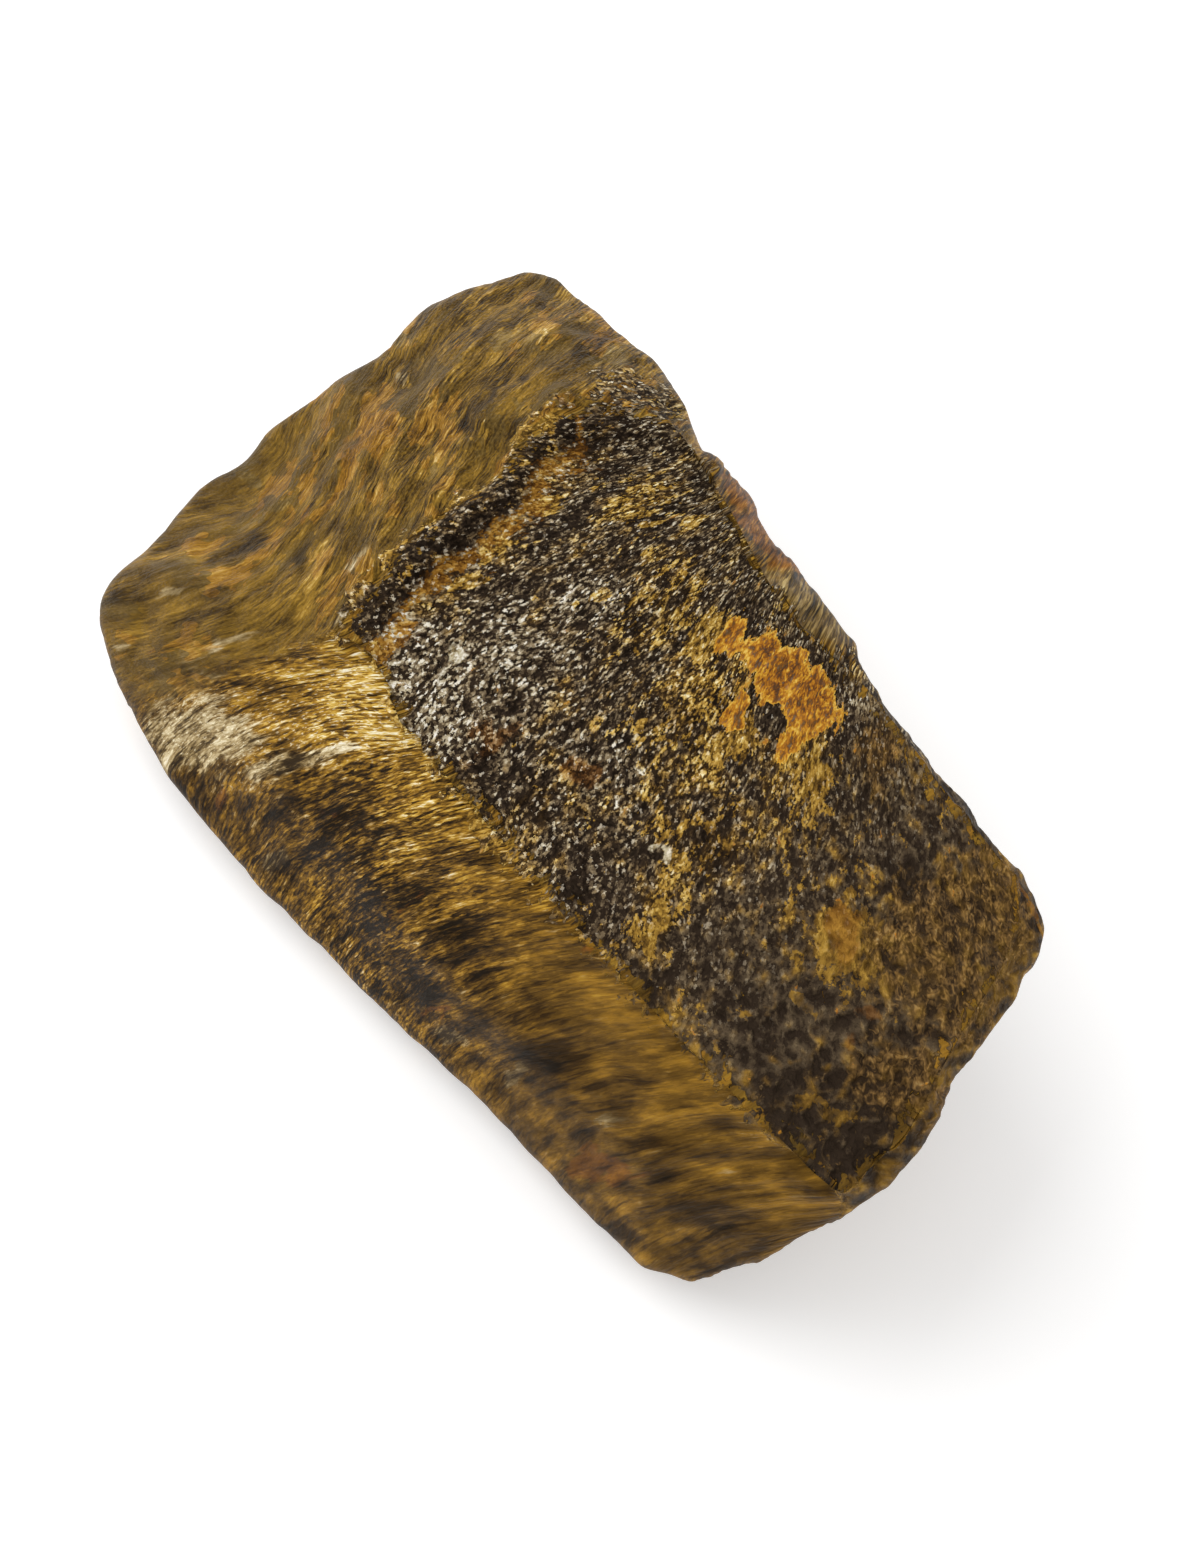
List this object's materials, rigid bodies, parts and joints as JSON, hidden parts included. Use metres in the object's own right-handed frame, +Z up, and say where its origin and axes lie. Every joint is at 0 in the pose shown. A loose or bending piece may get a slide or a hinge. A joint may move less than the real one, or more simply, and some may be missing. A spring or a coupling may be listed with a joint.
{
  "type": "rough tiger's eye stone",
  "caption": "Rough wedge-shaped chunk of silky fibrous brown and gold quartz with a dark grainy top face, broken sloping sides and a flat underside, for display or as a paperweight.",
  "frame": {"origin": "on the ground, on the flat underside, near the middle of the stone", "axes": "+Z up, +X along the stone's length from its long sloping end to its blunt end, -Y out of its silky front side"},
  "size_m": [0.0644, 0.0387, 0.0234],
  "materials": {
    "quartz": "silky fibrous quartz, golden brown with dark bands, broken and unpolished"
  },
  "bodies": {
    "root": {"stone": "quartz"}
  },
  "joints": []
}
